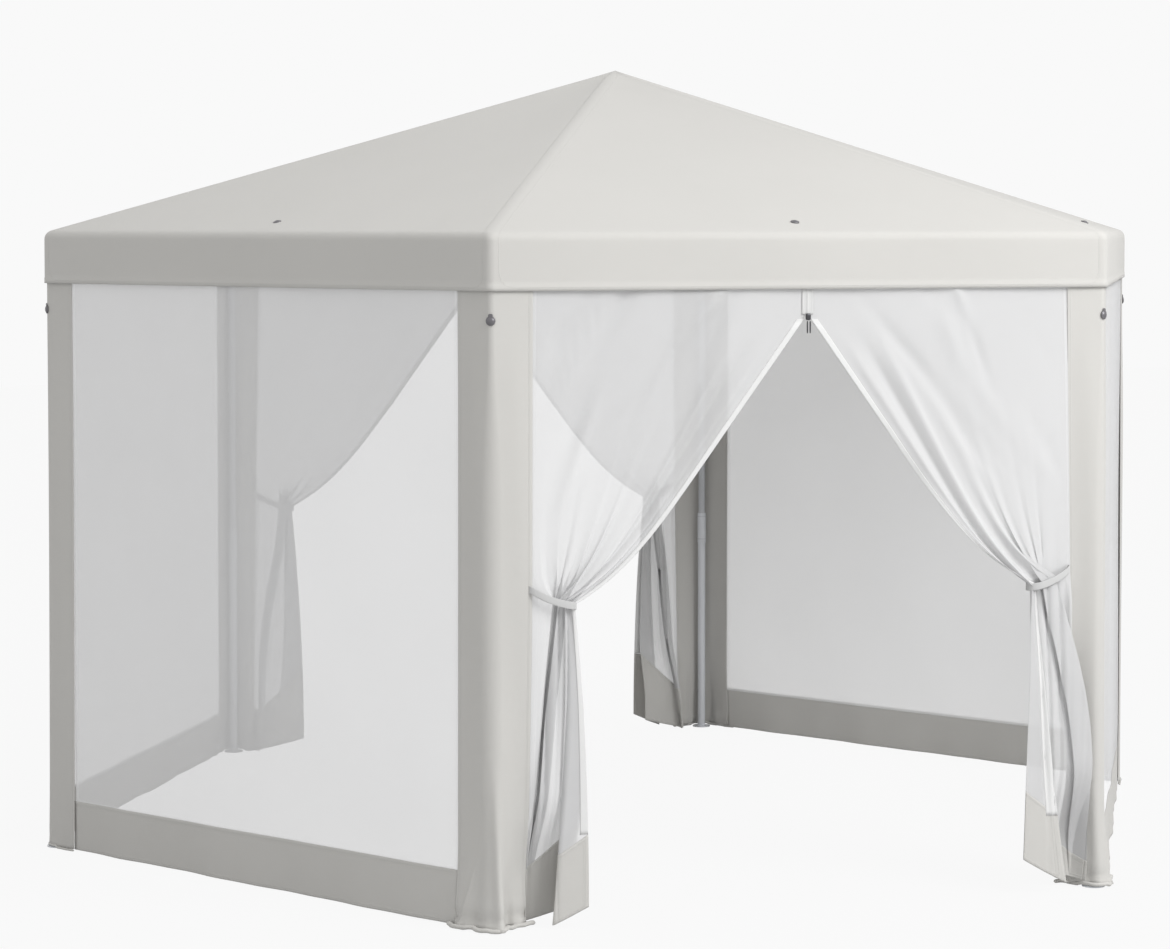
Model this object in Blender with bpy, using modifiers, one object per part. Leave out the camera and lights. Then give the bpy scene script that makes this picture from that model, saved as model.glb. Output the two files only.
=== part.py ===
"""Six-sided garden gazebo: a plug-together steel tube frame under a low pyramid roof of
woven polyester, with net walls between cloth corner strips and two open doorways whose
curtains are tied back.

Frame: +Z up, origin on the ground at the centre. The front doorway faces -Y and the back
one +Y. Corners lie every 60 degrees, starting on +X. Units are metres.
"""

from math import asin, atan2, copysign, cos, pi, sin, tan

import bmesh
import bpy
from mathutils import Matrix, Vector

# Driving dimensions
ROOF_RADIUS = 1.950          # centre to a corner of the roof's edge
EAVE_HEIGHT = 1.987          # where the roof slope would meet the valance
APEX_HEIGHT = 2.535
VALANCE_DEPTH = 0.163
EAVE_ROUNDING = 0.032
COVER_THICKNESS = 0.003
LEG_CIRCLE = 1.914           # centre to a leg's axis
CLOTH_TOP = 1.938
CLOTH_BOTTOM = 0.006
CLOTH_THICKNESS = 0.004
NET_THICKNESS = 0.0024
BAND_HEIGHT = 0.156
SLEEVE_WING = 0.125
TOUCH = 0.0004               # gap between faces that touch

# Tubes
LOWER_TUBE_RADIUS = 0.0152
UPPER_TUBE_RADIUS = 0.0135
RAIL_RADIUS = 0.011
TUBE_WALL = 0.0012
COLLAR_RADIUS = 0.0168
COLLAR_BOTTOM = 0.742
COLLAR_TOP = 0.858
COLLAR_TAPER = 0.005
FOOT_RADIUS = 0.035
FOOT_THICKNESS = 0.004
PLUG_CLEARANCE = 0.0005
ADJUST_HOLE_RADIUS = 0.004
ADJUST_HOLE_HEIGHTS = (0.141, 0.180, 0.219)
TUBE_SIDES = 16
SMALL_SIDES = 12

# Corner fittings and hub
RAIL_HEIGHT = 1.950
SOCKET_RADIUS = 0.0165
SOCKET_BOTTOM = 1.900
SOCKET_TOP = 1.982
SOCKET_FLOOR = 0.012         # material left above the leg's end
SPIGOT_LENGTH = 0.085
RAIL_START = 0.0185          # from a leg's axis to the end of a rail
RAFTER_START = 0.034         # from a leg's axis to the end of a rafter, level
HUB_RADIUS = 0.042
HUB_BOTTOM = 2.471
HUB_SHOULDER = 2.507
HUB_CROWN = 2.520
HUB_SPIGOT_ROOT = 0.034
HUB_SPIGOT_REACH = 0.100

# Doors
ZIP_END = 1.700              # the zip is closed above this height
DOOR_PARTING = 0.0005
NECK_CENTRE = 0.757          # from the middle of the doorway
NECK_HALF_WIDTH = 0.0340
NECK_DEPTH = 0.056
NECK_HEIGHT = 0.940
NECK_PULL = 0.150            # height over which the curtain draws in to the neck
STRAP_WIDTH = 0.035
STRAP_THICKNESS = 0.0022
STRAP_SLOPE = 0.40
STRAP_MARGIN = 0.004         # straight cloth above and below the strap
STRAP_CLEARANCE = 0.0008
SKIRT_EDGE = 0.690           # leading edge of a hanging curtain at the bottom
SKIRT_DEPTH = 0.060
SKIRT_LIFT = 0.080           # how much higher the leading corner hangs
RING_POINTS = 20

# Worked out from the driving dimensions
SIDES = 6
TURN = 2 * pi / SIDES
FLAT = cos(pi / SIDES)       # apothem of a hexagon of radius one
ROOF_FLAT = ROOF_RADIUS * FLAT
RIDGE_SLOPE = atan2(APEX_HEIGHT - EAVE_HEIGHT, ROOF_RADIUS)
FACE_SLOPE = atan2(APEX_HEIGHT - EAVE_HEIGHT, ROOF_FLAT)
WALL_INNER = LEG_CIRCLE * FLAT + COLLAR_RADIUS + TOUCH
WALL_OUTER = WALL_INNER + CLOTH_THICKNESS
WALL_MIDDLE = (WALL_INNER + WALL_OUTER) / 2
WALL_HALF = WALL_OUTER * tan(pi / SIDES)
SLEEVE_EDGE = WALL_HALF - SLEEVE_WING
PANEL_EDGE = SLEEVE_EDGE - TOUCH
NECK_TOP = NECK_HEIGHT + STRAP_WIDTH / 2 + STRAP_MARGIN
NECK_BOTTOM = NECK_HEIGHT - STRAP_WIDTH / 2 - STRAP_MARGIN
RIDGE_BEND = asin(sin(FACE_SLOPE) * sin(TURN / 2))
RAFTER_DEPTH = (RAIL_RADIUS + COVER_THICKNESS + TOUCH) / cos(RIDGE_BEND)
SPIGOT_RADIUS = RAIL_RADIUS - TUBE_WALL - PLUG_CLEARANCE

CORNERS = {
    "right": 0, "back_right": 1, "back_left": 2,
    "left": 3, "front_left": 4, "front_right": 5,
}
WALLS = {
    "front_right": -0.5, "back_right": 0.5, "back": 1.5,
    "back_left": 2.5, "front_left": 3.5, "front": 4.5,
}
NET_WALLS = ("front_right", "back_right", "back_left", "front_left")

MATERIALS = {
    "lower_tube": ((0.42, 0.43, 0.46), 0.42, 0.55),
    "upper_tube": ((0.36, 0.37, 0.40), 0.42, 0.55),
    "rail_tube": ((0.38, 0.39, 0.42), 0.42, 0.55),
    "fitting": ((0.30, 0.31, 0.33), 0.50, 0.20),
    "roof_cloth": ((0.80, 0.80, 0.77), 0.80, 0.0),
    "sleeve_cloth": ((0.78, 0.78, 0.75), 0.80, 0.0),
    "net": ((0.84, 0.84, 0.84), 0.85, 0.0),
    "strap": ((0.82, 0.82, 0.80), 0.75, 0.0),
}


def collection(name):
    """A new collection in the scene."""
    made = bpy.data.collections.new(name)
    bpy.context.scene.collection.children.link(made)
    return made


def material(name):
    """A plain surface of the named colour, roughness and metallic value."""
    colour, roughness, metallic = MATERIALS[name]
    made = bpy.data.materials.new(name)
    made.use_nodes = True
    shader = made.node_tree.nodes["Principled BSDF"]
    shader.inputs["Base Color"].default_value = (*colour, 1.0)
    shader.inputs["Roughness"].default_value = roughness
    shader.inputs["Metallic"].default_value = metallic
    return made


def add(name, mesh, where, surface=None, turn=0.0):
    """Link a mesh as an object turned about the gazebo's upright axis."""
    made = bpy.data.objects.new(name, mesh)
    made.rotation_euler[2] = turn
    if surface:
        made.data.materials.clear()
        made.data.materials.append(surface)
    where.objects.link(made)
    return made


def baked(obj):
    """The object's evaluated mesh in world space; the object itself is removed."""
    bpy.context.view_layer.update()
    graph = bpy.context.evaluated_depsgraph_get()
    mesh = bpy.data.meshes.new_from_object(obj.evaluated_get(graph))
    mesh.transform(obj.matrix_world)
    weld = bmesh.new()
    weld.from_mesh(mesh)
    bmesh.ops.remove_doubles(weld, verts=weld.verts, dist=0.00001)
    weld.to_mesh(mesh)
    weld.free()
    bpy.data.objects.remove(obj, do_unlink=True)
    return mesh


def smooth(mesh, degrees=35):
    """Shade round stretches smooth and keep the edges crisp."""
    mesh.shade_smooth()
    mesh.set_sharp_from_angle(angle=degrees * pi / 180)


def turned(profile, steps, closed=False):
    """A profile of (radius, height) points turned about the Z axis, as a mesh."""
    mesh = bpy.data.meshes.new("profile")
    edges = [(i, i + 1) for i in range(len(profile) - 1)]
    if closed:
        edges.append((len(profile) - 1, 0))
    mesh.from_pydata([(r, 0, z) for r, z in profile], edges, [])
    obj = add("profile", mesh, cutters)
    screw = obj.modifiers.new("turn", "SCREW")
    screw.steps = steps
    screw.render_steps = steps
    screw.use_merge_vertices = True
    screw.merge_threshold = 0.0001
    screw.use_smooth_shade = False
    return baked(obj)


def along(start, end):
    """A matrix that takes the Z axis from the origin onto the line from start to end."""
    start, end = Vector(start), Vector(end)
    turn = (end - start).to_track_quat("Z", "Y").to_matrix().to_4x4()
    return Matrix.Translation(start) @ turn


def tube(start, end, radius, wall, steps):
    """A straight open-ended tube between two points, as a mesh."""
    length = (Vector(end) - Vector(start)).length
    section = [(radius, length), (radius, 0), (radius - wall, 0), (radius - wall, length)]
    mesh = turned(section, steps, closed=True)
    mesh.transform(along(start, end))
    return mesh


def rod(start, end, radius, steps):
    """A straight solid rod between two points, as an object for a Boolean."""
    length = (Vector(end) - Vector(start)).length
    shape = bmesh.new()
    bmesh.ops.create_cone(shape, cap_ends=True, segments=steps, radius1=radius,
                          radius2=radius, depth=length)
    bmesh.ops.translate(shape, verts=shape.verts, vec=(0, 0, length / 2))
    bmesh.ops.transform(shape, verts=shape.verts, matrix=along(start, end))
    mesh = bpy.data.meshes.new("rod")
    shape.to_mesh(mesh)
    shape.free()
    return add("rod", mesh, cutters)


def combine(mesh, tools, operation):
    """Join rods to a mesh, or cut them from it, one after another."""
    body = add("body", mesh, cutters)
    for tool in tools:
        tool.hide_render = True
        tool.display_type = "WIRE"
        step = body.modifiers.new("step", "BOOLEAN")
        step.operation = operation
        step.solver = "EXACT"
        step.object = tool
    result = baked(body)
    for tool in tools:
        bpy.data.objects.remove(tool, do_unlink=True)
    return result


def extruded(outline, low, high, holes=()):
    """A flat outline, with any holes, drawn in X and Y and extruded from low to high."""
    curve = bpy.data.curves.new("outline", "CURVE")
    curve.dimensions = "2D"
    curve.fill_mode = "BOTH"
    curve.extrude = (high - low) / 2
    for loop in (outline, *holes):
        spline = curve.splines.new("POLY")
        spline.points.add(len(loop) - 1)
        for point, (x, y) in zip(spline.points, loop):
            point.co = (x, y, 0, 1)
        spline.use_cyclic_u = True
    obj = bpy.data.objects.new("outline", curve)
    obj.location.z = (low + high) / 2
    cutters.objects.link(obj)
    return baked(obj)


def polar(radius, angle, height=0.0):
    """A point at a radius and angle about the upright axis."""
    return Vector((radius * cos(angle), radius * sin(angle), height))


def ridge_point(radius, below):
    """A point under the ridge over +X, at a square distance below it."""
    height = APEX_HEIGHT - radius * tan(RIDGE_SLOPE) - below / cos(RIDGE_SLOPE)
    return Vector((radius, 0, height))


def lower_leg():
    """Foot disc, tube and collar in one turned shape, open at the top, on the leg's axis."""
    seat = LOWER_TUBE_RADIUS - 2 * TUBE_WALL
    socket = UPPER_TUBE_RADIUS + PLUG_CLEARANCE
    profile = [
        (0, FOOT_THICKNESS),
        (seat, FOOT_THICKNESS),
        (seat, COLLAR_BOTTOM),
        (socket, COLLAR_BOTTOM),
        (socket, COLLAR_TOP),
        (COLLAR_RADIUS, COLLAR_TOP),
        (COLLAR_RADIUS, COLLAR_BOTTOM),
        (LOWER_TUBE_RADIUS, COLLAR_BOTTOM - COLLAR_TAPER),
        (LOWER_TUBE_RADIUS, FOOT_THICKNESS),
        (FOOT_RADIUS, FOOT_THICKNESS),
        (FOOT_RADIUS, 0),
        (0, 0),
    ]
    mesh = turned(profile, TUBE_SIDES)
    mesh.transform(Matrix.Translation((LEG_CIRCLE, 0, 0)))
    reach = polar(COLLAR_RADIUS * 2, 2 * TURN)
    holes = []
    for height in ADJUST_HOLE_HEIGHTS:
        centre = Vector((LEG_CIRCLE, 0, height))
        holes.append(rod(centre - reach, centre + reach, ADJUST_HOLE_RADIUS, SMALL_SIDES))
    return combine(mesh, holes, "DIFFERENCE")


def upper_leg():
    """The upper tube, from its seat in the collar to the corner fitting."""
    foot = (LEG_CIRCLE, 0, COLLAR_BOTTOM + TOUCH)
    head = (LEG_CIRCLE, 0, SOCKET_TOP - SOCKET_FLOOR - TOUCH)
    return tube(foot, head, UPPER_TUBE_RADIUS, TUBE_WALL, TUBE_SIDES)


def corner_fitting():
    """A cap over the leg's top with plug-in spigots for two eave rails and a rafter."""
    bore = UPPER_TUBE_RADIUS + PLUG_CLEARANCE
    cap = turned([
        (0, SOCKET_TOP),
        (SOCKET_RADIUS, SOCKET_TOP),
        (SOCKET_RADIUS, SOCKET_BOTTOM),
        (bore, SOCKET_BOTTOM),
        (bore, SOCKET_TOP - SOCKET_FLOOR),
        (0, SOCKET_TOP - SOCKET_FLOOR),
    ], TUBE_SIDES)
    cap.transform(Matrix.Translation((LEG_CIRCLE, 0, 0)))
    centre = Vector((LEG_CIRCLE, 0, RAIL_HEIGHT))
    inner = (SOCKET_RADIUS + bore) / 2
    spigots = []
    for angle in (2 * TURN, -2 * TURN):
        root = centre + polar(inner, angle)
        tip = centre + polar(SPIGOT_LENGTH, angle)
        spigots.append(rod(root, tip, SPIGOT_RADIUS, SMALL_SIDES))
    root = ridge_point(LEG_CIRCLE, RAFTER_DEPTH)
    tip = ridge_point(LEG_CIRCLE - SPIGOT_LENGTH - RAFTER_START, RAFTER_DEPTH)
    spigots.append(rod(root, tip, SPIGOT_RADIUS, SMALL_SIDES))
    return combine(cap, spigots, "UNION")


def rafter():
    """A tube under the ridge over +X, from the corner fitting to the hub."""
    low = ridge_point(LEG_CIRCLE - RAFTER_START, RAFTER_DEPTH)
    high = ridge_point(HUB_RADIUS + RAIL_RADIUS * sin(RIDGE_SLOPE) + TOUCH, RAFTER_DEPTH)
    return tube(low, high, RAIL_RADIUS, TUBE_WALL, SMALL_SIDES)


def eave_rail():
    """A level tube between two legs, drawn for the wall that faces +X."""
    half = LEG_CIRCLE / 2 - RAIL_START
    flat = LEG_CIRCLE * FLAT
    return tube((flat, -half, RAIL_HEIGHT), (flat, half, RAIL_HEIGHT),
                RAIL_RADIUS, TUBE_WALL, SMALL_SIDES)


def apex_hub():
    """A turned boss under the peak with a spigot for each rafter."""
    boss = turned([
        (0, HUB_CROWN),
        (HUB_RADIUS, HUB_SHOULDER),
        (HUB_RADIUS, HUB_BOTTOM),
        (0, HUB_BOTTOM),
    ], 4 * SIDES)
    spigots = []
    for k in range(SIDES):
        root = ridge_point(HUB_SPIGOT_ROOT, RAFTER_DEPTH)
        tip = ridge_point(HUB_SPIGOT_REACH, RAFTER_DEPTH)
        spin = Matrix.Rotation(k * TURN, 3, "Z")
        spigots.append(rod(spin @ root, spin @ tip, SPIGOT_RADIUS, SMALL_SIDES))
    return combine(boss, spigots, "UNION")


def roof_cover():
    """The pyramid roof and its valance as one shell with a rounded eave, open below."""
    turning = pi / 2 - FACE_SLOPE
    setback = EAVE_ROUNDING * tan(turning / 2)
    centre = Vector((ROOF_FLAT - EAVE_ROUNDING, EAVE_HEIGHT - setback))
    profile = [(0, APEX_HEIGHT)]
    arc_steps = 4
    for i in range(arc_steps + 1):
        angle = pi / 2 - FACE_SLOPE - turning * i / arc_steps
        flat = centre.x + EAVE_ROUNDING * cos(angle)
        height = centre.y + EAVE_ROUNDING * sin(angle)
        profile.append((flat / FLAT, height))
    profile.append((ROOF_RADIUS, EAVE_HEIGHT - VALANCE_DEPTH))
    mesh = turned(profile, SIDES)
    shell = add("shell", mesh, cutters)
    solidify = shell.modifiers.new("cloth", "SOLIDIFY")
    solidify.thickness = COVER_THICKNESS
    solidify.offset = -1
    solidify.use_even_offset = True
    return baked(shell)


def corner_sleeve():
    """The cloth strip folded round the outside of the leg on +X."""
    outer_corner = polar(WALL_OUTER / FLAT, 0)
    inner_corner = polar(WALL_INNER / FLAT, 0)
    outline = [outer_corner]
    for side in (1, -1):
        wing = outer_corner + polar(SLEEVE_WING, side * 2 * TURN)
        inward = polar(-CLOTH_THICKNESS, side * TURN / 2)
        ends = [wing, wing + inward]
        outline += ends if side > 0 else [inner_corner] + ends[::-1]
    return extruded([(p.x, p.y) for p in outline], CLOTH_BOTTOM, CLOTH_TOP)


def net_wall():
    """A net panel with a thicker cloth band along the ground, for the wall facing +X."""
    band_top = CLOTH_BOTTOM + BAND_HEIGHT
    net_inner = WALL_OUTER - NET_THICKNESS
    section = [
        (WALL_OUTER, CLOTH_BOTTOM),
        (WALL_OUTER, CLOTH_TOP),
        (net_inner, CLOTH_TOP),
        (net_inner, band_top),
        (WALL_INNER, band_top),
        (WALL_INNER, CLOTH_BOTTOM),
    ]
    mesh = extruded(section, -PANEL_EDGE, PANEL_EDGE)
    upright = Matrix(((1, 0, 0), (0, 0, -1), (0, 1, 0))).to_4x4()
    mesh.transform(upright)
    return mesh


def leading_edge(height):
    """How far from the doorway's middle the curtain's free edge is at a height."""
    tied = NECK_CENTRE - NECK_HALF_WIDTH
    if height >= ZIP_END:
        return DOOR_PARTING
    if height >= NECK_TOP:
        drop = (ZIP_END - height) / (ZIP_END - NECK_TOP)
        return DOOR_PARTING + (tied - DOOR_PARTING) * drop
    below = max(0.0, NECK_BOTTOM - height) / NECK_BOTTOM
    return tied + (SKIRT_EDGE - tied) * sin(below * pi / 2)


def outer_edge(height):
    """How far from the doorway's middle the curtain's sewn edge is at a height."""
    tied = NECK_CENTRE + NECK_HALF_WIDTH
    away = max(height - NECK_TOP, NECK_BOTTOM - height, 0.0)
    pulled = max(0.0, 1 - away / NECK_PULL)
    ease = pulled * pulled * (3 - 2 * pulled)
    return PANEL_EDGE + (tied - PANEL_EDGE) * ease


def curtain_depth(height):
    """The thickness of the gathered curtain: flat cloth at the top, a bundle at the tie."""
    if height >= NECK_TOP:
        gather = ((CLOTH_TOP - height) / (CLOTH_TOP - NECK_TOP)) ** 4
        return CLOTH_THICKNESS + (NECK_DEPTH - CLOTH_THICKNESS) * gather
    below = max(0.0, NECK_BOTTOM - height) / NECK_BOTTOM
    return NECK_DEPTH + (SKIRT_DEPTH - NECK_DEPTH) * below


def strap_tilt(height):
    """How far the cloth's rows follow the slope of the strap: fully at the neck."""
    away = max(height - NECK_TOP, NECK_BOTTOM - height, 0.0)
    return STRAP_SLOPE * max(0.0, 1 - away / NECK_PULL)


def bundle_outline(half_width, half_depth):
    """A squarish oval of points, the level section of flat or gathered cloth."""
    outline = []
    for k in range(RING_POINTS):
        angle = 2 * pi * k / RING_POINTS
        across = copysign(abs(cos(angle)) ** 0.8, cos(angle))
        through = copysign(abs(sin(angle)) ** 0.5, sin(angle))
        outline.append((half_width * across, half_depth * through))
    return outline


def door_curtain(side):
    """Half of a doorway's net curtain, tied back to one side, for the wall facing -Y."""
    bottom = CLOTH_BOTTOM + SKIRT_LIFT
    rows = [CLOTH_TOP, ZIP_END, 1.50, 1.30, 1.15, 1.08, 1.01, NECK_TOP,
            NECK_BOTTOM, 0.88, 0.80, 0.60, 0.30, bottom]
    shape = bmesh.new()
    rings = []
    for height in rows:
        near, far = leading_edge(height), outer_edge(height)
        middle, half = (near + far) / 2, (far - near) / 2
        depth = curtain_depth(height)
        slant = SKIRT_LIFT / (far - near) if height == bottom else 0.0
        ring = []
        for across, through in bundle_outline(half, depth / 2):
            x = middle + across
            z = height - slant * (x - near) + strap_tilt(height) * (x - NECK_CENTRE)
            ring.append(shape.verts.new((side * x, -WALL_MIDDLE - through, z)))
        rings.append(ring)
    for upper, lower in zip(rings, rings[1:]):
        for k in range(RING_POINTS):
            following = (k + 1) % RING_POINTS
            shape.faces.new((upper[k], upper[following], lower[following], lower[k]))
    shape.faces.new(rings[0])
    shape.faces.new(rings[-1])
    bmesh.ops.recalc_face_normals(shape, faces=shape.faces)
    mesh = bpy.data.meshes.new("curtain")
    shape.to_mesh(mesh)
    shape.free()
    return mesh


def tie_back(side):
    """A flat strap round a curtain's neck with a tail to the corner strip's edge."""
    wide = NECK_HALF_WIDTH + STRAP_CLEARANCE
    deep = NECK_DEPTH / 2 + STRAP_CLEARANCE
    tail = PANEL_EDGE - NECK_CENTRE
    half = STRAP_THICKNESS / 2
    hole = bundle_outline(wide, deep)
    outer = [(tail, -half), (tail, half)]
    outer += bundle_outline(wide + STRAP_THICKNESS, deep + STRAP_THICKNESS)[1:]
    mesh = extruded(outer, -STRAP_WIDTH / 2, STRAP_WIDTH / 2, holes=[hole])
    mesh.transform(Matrix(((1, 0, 0, 0), (0, 1, 0, 0), (STRAP_SLOPE, 0, 1, 0), (0, 0, 0, 1))))
    mesh.transform(Matrix.Translation((NECK_CENTRE, -WALL_MIDDLE, NECK_HEIGHT)))
    if side < 0:
        mirror = bmesh.new()
        mirror.from_mesh(mesh)
        bmesh.ops.scale(mirror, vec=(-1, 1, 1), verts=mirror.verts)
        bmesh.ops.reverse_faces(mirror, faces=mirror.faces)
        mirror.to_mesh(mesh)
        mirror.free()
    return mesh


def place(name, mesh, surface, turn=0.0):
    """Add a finished piece of the gazebo."""
    add(name, mesh, gazebo, surfaces[surface], turn)


for old in list(bpy.data.objects):
    bpy.data.objects.remove(old, do_unlink=True)
gazebo = collection("garden_gazebo")
cutters = collection("cutters")
surfaces = {name: material(name) for name in MATERIALS}

around_corners = (
    ("leg_lower", lower_leg(), "lower_tube"),
    ("leg_upper", upper_leg(), "upper_tube"),
    ("corner_fitting", corner_fitting(), "fitting"),
    ("rafter", rafter(), "rail_tube"),
    ("corner_sleeve", corner_sleeve(), "sleeve_cloth"),
)
for prefix, mesh, surface in around_corners:
    smooth(mesh)
    for corner, sixth in CORNERS.items():
        place(f"{prefix}_{corner}", mesh, surface, sixth * TURN)

rail = eave_rail()
smooth(rail)
for wall, sixth in WALLS.items():
    place(f"eave_rail_{wall}", rail, "rail_tube", sixth * TURN)

panel = net_wall()
for wall in NET_WALLS:
    place(f"net_wall_{wall}", panel, "net", WALLS[wall] * TURN)

for hand, side in (("left", -1), ("right", 1)):
    curtain = door_curtain(side)
    strap = tie_back(side)
    smooth(curtain, 60)
    smooth(strap)
    opposite = "right" if hand == "left" else "left"
    place(f"door_curtain_front_{hand}", curtain, "net")
    place(f"tie_back_front_{hand}", strap, "strap")
    place(f"door_curtain_back_{opposite}", curtain, "net", pi)
    place(f"tie_back_back_{opposite}", strap, "strap", pi)

hub = apex_hub()
smooth(hub)
place("apex_hub", hub, "fitting")
cover = roof_cover()
smooth(cover, 12)
place("roof_cover", cover, "roof_cloth")
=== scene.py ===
from math import atan2, cos, hypot, pi, radians, sin, tan

import bmesh
import bpy
import numpy as np
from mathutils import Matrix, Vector


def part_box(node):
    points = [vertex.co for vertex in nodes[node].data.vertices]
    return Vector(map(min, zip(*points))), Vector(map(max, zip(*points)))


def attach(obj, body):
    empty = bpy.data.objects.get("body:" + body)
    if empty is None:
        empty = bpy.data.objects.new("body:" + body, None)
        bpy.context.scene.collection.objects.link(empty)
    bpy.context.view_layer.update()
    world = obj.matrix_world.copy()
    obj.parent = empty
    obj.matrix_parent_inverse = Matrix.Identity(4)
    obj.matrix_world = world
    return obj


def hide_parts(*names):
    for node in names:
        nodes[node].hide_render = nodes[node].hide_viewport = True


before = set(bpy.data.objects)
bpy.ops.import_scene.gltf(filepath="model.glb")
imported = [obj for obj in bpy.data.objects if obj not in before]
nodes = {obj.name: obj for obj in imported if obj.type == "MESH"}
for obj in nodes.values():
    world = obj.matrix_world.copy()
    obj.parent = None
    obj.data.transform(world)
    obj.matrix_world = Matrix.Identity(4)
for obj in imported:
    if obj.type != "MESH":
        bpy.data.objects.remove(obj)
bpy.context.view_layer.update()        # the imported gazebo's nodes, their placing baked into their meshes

sixth = pi / 3
halfSixth = pi / 6
cornerTurns = {"right": 0, "back_right": 1, "back_left": 2, "left": 3, "front_left": 4, "front_right": 5}
wallTurns = {"front_right": -0.5, "back_right": 0.5, "back": 1.5, "back_left": 2.5,
             "front_left": 3.5, "front": 4.5}
closedWalls = ("front_right", "back_right", "back_left", "front_left")

# sizes that the cloth takes over from the frame
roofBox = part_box("roof_cover")
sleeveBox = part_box("corner_sleeve_right")
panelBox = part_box("door_curtain_front_right")
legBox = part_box("leg_upper_right")
roofRadius = roofBox[1].x
roofFlat = roofRadius * cos(halfSixth)
apexHeight = roofBox[1].z
hemHeight = roofBox[0].z
clothCorner = sleeveBox[1].x                 # centre to the outside corner of the wall cloth
clothFlat = clothCorner * cos(halfSixth)     # centre to the outside of a wall
clothTop = sleeveBox[1].z
clothFoot = sleeveBox[0].z
wallHalf = clothFlat * tan(halfSixth)
panelHalf = panelBox[1].x                    # middle of a wall to the edge of its panel
sleeveWing = wallHalf - panelHalf
legCircle = (legBox[0].x + legBox[1].x) / 2


def unit(x):
    return np.clip(x, 0, 1)


def ease(x):
    # a smooth step from 0 to 1
    x = unit(x)
    return x * x * (3 - 2 * x)


def stepUp(x, start, width):
    # smoothly from 0 at the start to 1 so far beyond it
    return ease((x - start) / width)


def bell(x, middle, width):
    return np.exp(-((x - middle) / width) ** 2)


def stacked(*parts):
    # arrays brought to one shape and laid side by side along a new last axis
    return np.stack(np.broadcast_arrays(*parts), axis=-1)


def placed(across, out, height, angle):
    # a point so far to the right, so far out and so high, seen from outside at an angle
    return stacked(out * cos(angle) - across * sin(angle), out * sin(angle) + across * cos(angle), height)


def gridFaces(rows, columns, closed):
    # quads between rows and columns; the last column joins the first on a closed grid
    index = np.arange(rows * columns).reshape(rows, columns)
    if closed:
        index = np.concatenate([index, index[:, :1]], axis=1)
    corners = [index[:-1, :-1], index[1:, :-1], index[1:, 1:], index[:-1, 1:]]
    return np.stack(corners, axis=-1).reshape(-1, 4)


def patch(points, flat, edge=1.0, closed=False):
    # rows run down and columns to the right, seen from outside; flat is each point's place on the cut cloth
    # in metres, and edge its distance from the nearest sewn edge
    edge = np.broadcast_to(edge, points.shape[:2])
    return {"points": points, "flat": flat, "edge": edge, "closed": closed}


def addObject(name, data):
    made = bpy.data.objects.new(name, data)
    bpy.context.scene.collection.objects.link(made)
    return made


def makePiece(name, patches, finish, replaced=(), thickness=0.0, lean=-1.0, weld=False):
    # one mesh from one or more patches, riding on the body of the gazebo
    faces, flatFaces = [], []
    start = flatStart = 0
    for part in patches:
        rows, columns = part["points"].shape[:2]
        faces.append(gridFaces(rows, columns, part["closed"]) + start)
        flatFaces.append(gridFaces(rows, part["flat"].shape[1], False) + flatStart)
        start += rows * columns
        flatStart += part["flat"].shape[0] * part["flat"].shape[1]
    points = np.concatenate([part["points"].reshape(-1, 3) for part in patches])
    flats = np.concatenate([part["flat"].reshape(-1, 2) for part in patches])
    edges = np.concatenate([part["edge"].ravel() for part in patches])
    mesh = bpy.data.meshes.new(name)
    mesh.from_pydata(points, [], np.concatenate(faces), shade_flat=False)
    layer = mesh.uv_layers.new(name="flat")
    layer.uv.foreach_set("vector", flats[np.concatenate(flatFaces).ravel()].astype(np.float32).ravel())
    mesh.attributes.new("edge", "FLOAT", "POINT").data.foreach_set("value", edges.astype(np.float32))
    if weld:
        shape = bmesh.new()
        shape.from_mesh(mesh)
        bmesh.ops.remove_doubles(shape, verts=shape.verts, dist=0.00002)
        shape.to_mesh(mesh)
        shape.free()
    piece = addObject(name, mesh)
    mesh.materials.append(finish)
    if thickness:
        solid = piece.modifiers.new("thickness", "SOLIDIFY")
        solid.thickness = thickness
        solid.offset = lean
    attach(piece, "root")
    if replaced:
        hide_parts(*replaced)
    return piece


def ringSweep(path, wide, high, sides):
    # an oval carried along a path, square to it, with both ends drawn to a point
    ahead = np.gradient(path, axis=0)
    ahead /= np.linalg.norm(ahead, axis=1, keepdims=True)
    side = np.cross(ahead, (0.0, 0.0, 1.0))
    side /= np.linalg.norm(side, axis=1, keepdims=True)
    top = np.cross(side, ahead)
    turn = np.arange(sides) * 2 * pi / sides
    size = np.ones(len(path))
    size[[0, -1]] = 0.0
    size[[1, -2]] = 0.75
    oval = (side[:, None] * np.cos(turn)[None, :, None] * wide
            + top[:, None] * np.sin(turn)[None, :, None] * high)
    points = path[:, None] + oval * size[:, None, None]
    run = np.concatenate([[0], np.cumsum(np.linalg.norm(np.diff(path, axis=0), axis=1))])
    girth = np.linspace(0, pi * (wide + high), sides + 1)
    flat = stacked(girth[None, :], -run[:, None])
    return points, flat


def turnedPatch(profile, centre, axis, sides=28):
    # a profile of (radius, height) points, from its tip down, turned about an axis
    axis = Vector(axis).normalized()
    first = axis.orthogonal().normalized()
    second = axis.cross(first)
    radius, height = np.array(profile, float).T
    turn = np.arange(sides) * 2 * pi / sides
    spoke = np.outer(np.cos(turn), first) + np.outer(np.sin(turn), second)
    rise = height[:, None, None] * np.array(axis)
    points = np.array(centre, float) + rise + radius[:, None, None] * spoke
    around = np.linspace(0, 1, sides + 1)[None, :] * 2 * pi * radius.max()
    flat = stacked(around, -np.cumsum(np.abs(np.gradient(height)))[:, None])
    return patch(points, flat, closed=True)


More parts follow.
